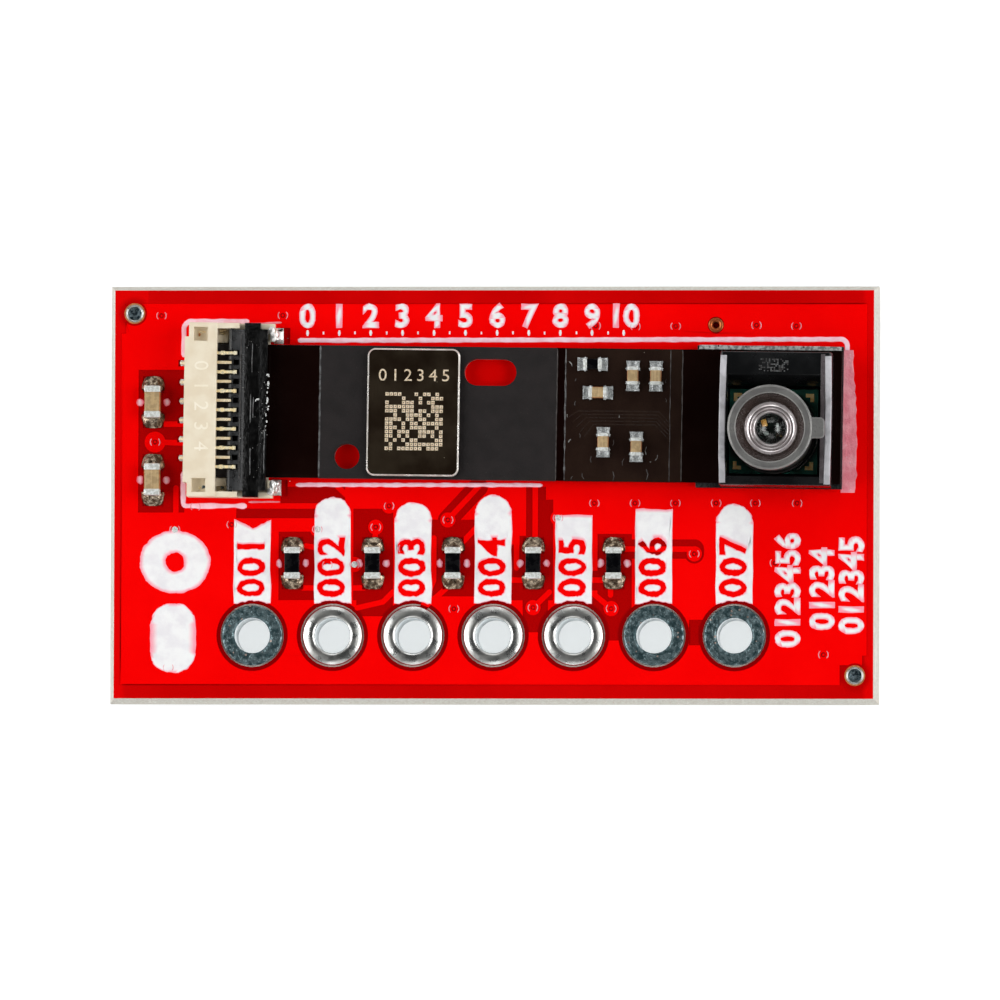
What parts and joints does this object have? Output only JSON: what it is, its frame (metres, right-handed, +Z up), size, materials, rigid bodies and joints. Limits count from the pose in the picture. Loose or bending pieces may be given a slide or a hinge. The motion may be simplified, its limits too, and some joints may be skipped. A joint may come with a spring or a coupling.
{
  "type": "lidar scanner module",
  "caption": "Small red breakout board with a laser particle sensor head on a black flex circuit, a flip-latch connector and a row of plated pin holes.",
  "frame": {"origin": "centre of the board's underside", "axes": "+X along the board towards the sensor head, +Y towards the flex's edge away from the pins, +Z up out of the chip side"},
  "size_m": [0.0242, 0.0132, 0.0048],
  "materials": {
    "red_mask": "gloss",
    "glass_laminate": "matt",
    "copper": "satin",
    "solder": "satin",
    "resistor_black": "satin",
    "capacitor_tan": "satin",
    "connector_cream": "satin",
    "latch_black": "satin",
    "gold_plate": "polished",
    "flex_black": "gloss",
    "stiffener_black": "matt",
    "tape": "matt",
    "marked_plate": "satin",
    "base_plate_metal": "satin",
    "head_black": "satin",
    "green_board": "gloss",
    "lens_holder": "gloss",
    "lens_flange": "satin",
    "lens_clear": "polished"
  },
  "bodies": {
    "board": {"board_laminate": "glass_laminate", "bottom_copper": "copper", "bottom_solder_mask": "red_mask", "capacitor_1": "capacitor_tan", "capacitor_2": "capacitor_tan", "chip_solder_joints": "solder", "chip_stiffener": "stiffener_black", "connector_anchor_front": "solder", "connector_anchor_rear": "solder", "connector_housing": "connector_cream", "connector_solder_joints": "solder", "corner_sleeve_front": "solder", "corner_sleeve_rear": "solder", "flex_capacitor_1": "capacitor_tan", "flex_capacitor_2": "capacitor_tan", "flex_capacitor_3": "capacitor_tan", "flex_capacitor_4": "capacitor_tan", "flex_capacitor_5": "capacitor_tan", "flex_circuit": "flex_black", "flex_resistor_1": "resistor_black", "flex_solder_joints": "solder", "head_base_plate": "base_plate_metal", "head_housing": "head_black", "id_plate": "marked_plate", "laser_board": "green_board", "laser_board_marks": "gold_plate", "laser_dies": "gold_plate", "lens": "lens_clear", "lens_barrel": "lens_holder", "lens_cone": "lens_holder", "lens_ring": "lens_flange", "long_contacts": "gold_plate", "middle_stiffener": "stiffener_black", "mounting_tape": "tape", "pin_sleeve_1": "solder", "pin_sleeve_2": "solder", "pin_sleeve_3": "solder", "pin_sleeve_4": "solder", "pin_sleeve_5": "solder", "pin_sleeve_6": "solder", "pin_sleeve_7": "solder", "resistor_1": "resistor_black", "resistor_2": "resistor_black", "resistor_3": "resistor_black", "resistor_4": "resistor_black", "resistor_5": "resistor_black", "short_contacts": "gold_plate", "tail_contact_pads": "gold_plate", "tail_stiffener": "flex_black", "top_copper": "copper", "top_solder_mask": "red_mask", "via_barrels": "copper"},
    "latch": {"connector_latch": "latch_black"}
  },
  "joints": [
    {"name": "latch_flip", "type": "hinge", "parent": "board", "child": "latch", "pos_m": [-0.00826, 0.00263, 0.00218], "axis": [-0.0122, -0.9999, 0], "range_deg": [0, 90]}
  ]
}
